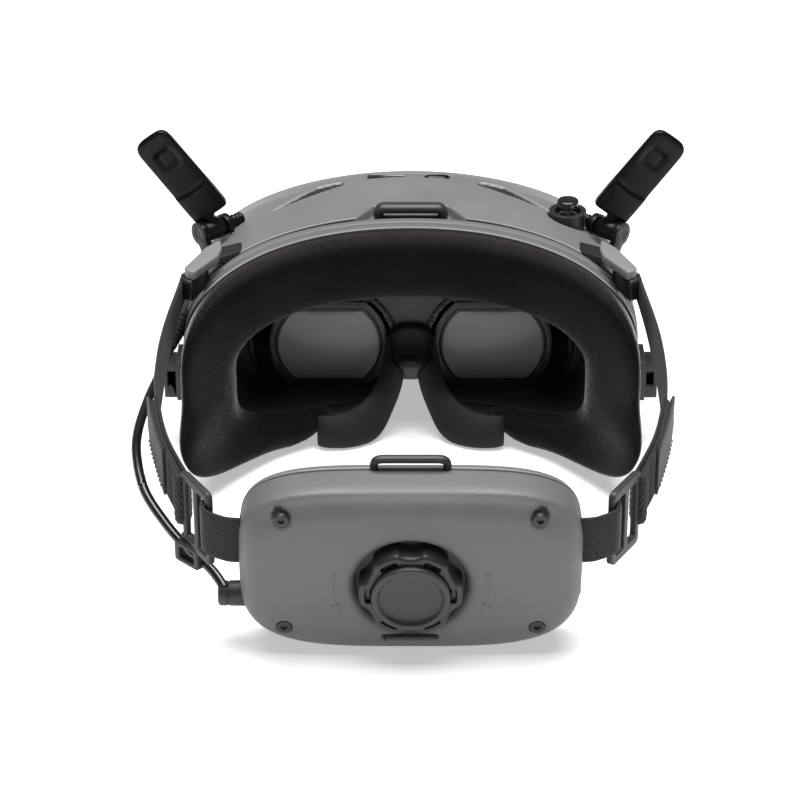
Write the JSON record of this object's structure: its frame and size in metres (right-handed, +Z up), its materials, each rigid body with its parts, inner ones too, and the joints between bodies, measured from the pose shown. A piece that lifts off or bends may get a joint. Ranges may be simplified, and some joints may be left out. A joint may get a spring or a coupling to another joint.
{
  "type": "fpv goggles",
  "caption": "Head-worn video goggles with foam face cushion, folding aerials, sliding and focusing eyepieces, webbing head strap and a rear battery pack with a strap tension dial.",
  "frame": {"origin": "centre of the footprint on the surface the headset stands on, halfway along its bounding box", "axes": "+Y the way the wearer looks, +X to the wearer's right, +Z up"},
  "size_m": [0.1888, 0.2171, 0.1044],
  "materials": {
    "shell_plastic": "fine-grained satin, mid grey",
    "dark_plastic": "near-black satin",
    "cover_plastic": "pebbled mid-grey",
    "light_plastic": "pale grey satin",
    "foam_skin": "soft-foam cushion skin, fine grain",
    "soft_rubber": "smooth dull rubber",
    "lens_glass": "coated grey lens",
    "webbing": "woven strap webbing",
    "elastic": "twill elastic",
    "steel": "bright machined",
    "board": "circuit board",
    "cell_wrap": "cell sleeve",
    "red_plastic": "satin red",
    "lead_jacket": "glossy black jacket"
  },
  "bodies": {
    "goggles": {"main_housing": "shell_plastic", "front_cover": "dark_plastic", "rear_bezel": "shell_plastic", "face_foam": "foam_skin", "nose_flap_left": "soft_rubber", "nose_flap_right": "soft_rubber", "nose_bridge": "soft_rubber", "eye_plate": "dark_plastic", "optics_bracket": "dark_plastic", "guide_rails": "steel", "mainboard": "board", "fan_housing": "dark_plastic", "front_loop": "dark_plastic", "usb_port": "steel", "card_slot": "steel", "vent_grilles": "dark_plastic", "strap_arm_left": "light_plastic", "strap_arm_right": "light_plastic", "side_bracket_left": "dark_plastic", "side_bracket_right": "dark_plastic", "hinge_yoke_left": "dark_plastic", "hinge_yoke_right": "dark_plastic", "hinge_pins": "steel", "nav_base": "dark_plastic", "strap_left": "webbing", "strap_right": "webbing", "buckle_left": "cover_plastic", "buckle_right": "cover_plastic", "elastic_left": "elastic", "elastic_right": "elastic", "power_plug": "soft_rubber", "power_lead": "lead_jacket", "lead_outlet": "dark_plastic", "pack_inner_shell": "shell_plastic", "pack_cover": "cover_plastic", "pack_loop": "shell_plastic", "pack_screws": "dark_plastic", "battery_cells": "cell_wrap"},
    "fan": {"fan_rotor": "dark_plastic"},
    "nav_gimbal": {"nav_gimbal": "steel"},
    "nav_stem": {"nav_stem": "steel"},
    "nav_cap": {"nav_cap": "dark_plastic"},
    "back_button": {"back_button": "dark_plastic"},
    "record_button": {"record_button": "red_plastic"},
    "eyepiece_left": {"eyepiece_left": "dark_plastic", "display_left": "lead_jacket"},
    "eyepiece_right": {"eyepiece_right": "dark_plastic", "display_right": "lead_jacket"},
    "lens_left": {"lens_left": "lens_glass"},
    "lens_right": {"lens_right": "lens_glass"},
    "focus_knob_left": {"focus_knob_left": "dark_plastic"},
    "focus_knob_right": {"focus_knob_right": "dark_plastic"},
    "antenna_left": {"antenna_left": "dark_plastic"},
    "antenna_right": {"antenna_right": "dark_plastic"},
    "tension_dial": {"dial_ring": "dark_plastic", "dial_cap": "dark_plastic"},
    "rack_left": {"rack_left": "steel"},
    "rack_right": {"rack_right": "steel"},
    "power_button": {"power_button": "light_plastic"}
  },
  "joints": [
    {"name": "fan_spin", "type": "hinge", "parent": "goggles", "child": "fan", "pos_m": [0, 0.0825, 0.05355], "axis": [0, 0, 1], "continuous": true},
    {"name": "nav_tilt_fore_aft", "type": "hinge", "parent": "goggles", "child": "nav_gimbal", "pos_m": [0.0548, 0.0715, 0.06955], "axis": [1, 0, 0], "range_deg": [-6, 6], "stiffness_Nm_per_rad": 0.02},
    {"name": "nav_tilt_side", "type": "hinge", "parent": "nav_gimbal", "child": "nav_stem", "pos_m": [0.0548, 0.0715, 0.06955], "axis": [0, 1, 0], "range_deg": [-6, 6], "stiffness_Nm_per_rad": 0.02},
    {"name": "nav_press", "type": "slide", "parent": "nav_stem", "child": "nav_cap", "axis": [0, 0, -1], "range_m": [0, 0.0008], "stiffness_N_per_m": 300, "springref_m": -0.001},
    {"name": "back_press", "type": "slide", "parent": "goggles", "child": "back_button", "axis": [-1, 0, 0], "range_m": [0, 0.0008], "stiffness_N_per_m": 300, "springref_m": -0.001},
    {"name": "record_press", "type": "slide", "parent": "goggles", "child": "record_button", "axis": [-1, 0, 0], "range_m": [0, 0.0008], "stiffness_N_per_m": 300, "springref_m": -0.001},
    {"name": "eye_spacing_left", "type": "slide", "parent": "goggles", "child": "eyepiece_left", "axis": [-1, 0, 0], "range_m": [-0.001, 0.005]},
    {"name": "eye_spacing_right", "type": "slide", "parent": "goggles", "child": "eyepiece_right", "axis": [1, 0, 0], "range_m": [-0.001, 0.005]},
    {"name": "focus_turn_left", "type": "hinge", "parent": "eyepiece_left", "child": "focus_knob_left", "pos_m": [-0.029, 0.0735, 0.00555], "axis": [0, 0, 1], "range_deg": [-135, 135]},
    {"name": "focus_turn_right", "type": "hinge", "parent": "eyepiece_right", "child": "focus_knob_right", "pos_m": [0.029, 0.0735, 0.00555], "axis": [0, 0, 1], "range_deg": [-135, 135]},
    {"name": "lens_travel_left", "type": "slide", "parent": "eyepiece_left", "child": "lens_left", "axis": [0, 1, 0], "range_m": [-0.002, 0.002]},
    {"name": "lens_travel_right", "type": "slide", "parent": "eyepiece_right", "child": "lens_right", "axis": [0, 1, 0], "range_m": [-0.002, 0.002]},
    {"name": "antenna_fold_left", "type": "hinge", "parent": "goggles", "child": "antenna_left", "pos_m": [-0.069, 0.0685, 0.06655], "axis": [-0.766, -0.6428, 0], "range_deg": [0, 132]},
    {"name": "antenna_fold_right", "type": "hinge", "parent": "goggles", "child": "antenna_right", "pos_m": [0.069, 0.0685, 0.06655], "axis": [-0.766, 0.6428, 0], "range_deg": [0, 132]},
    {"name": "tension_turn", "type": "hinge", "parent": "goggles", "child": "tension_dial", "pos_m": [0, -0.09841, 0.02667], "axis": [0, -0.9903, -0.1392], "range_deg": [-105, 105]},
    {"name": "rack_travel_left", "type": "slide", "parent": "goggles", "child": "rack_left", "axis": [1, 0, 0], "range_m": [-0.0074, 0.0074], "deforming": ["elastic_left"]},
    {"name": "rack_travel_right", "type": "slide", "parent": "goggles", "child": "rack_right", "axis": [-1, 0, 0], "range_m": [-0.0074, 0.0074], "deforming": ["elastic_right"]},
    {"name": "power_press", "type": "slide", "parent": "goggles", "child": "power_button", "axis": [-1, 0, 0], "range_m": [0, 0.0008], "stiffness_N_per_m": 300, "springref_m": -0.001}
  ],
  "couplings": [
    {"joint": "focus_turn_left", "follows": "lens_travel_left", "rad_per_m": 1175},
    {"joint": "focus_turn_right", "follows": "lens_travel_right", "rad_per_m": 1175},
    {"joint": "rack_travel_left", "follows": "tension_turn", "m_per_rad": -0.004},
    {"joint": "rack_travel_right", "follows": "tension_turn", "m_per_rad": -0.004}
  ]
}
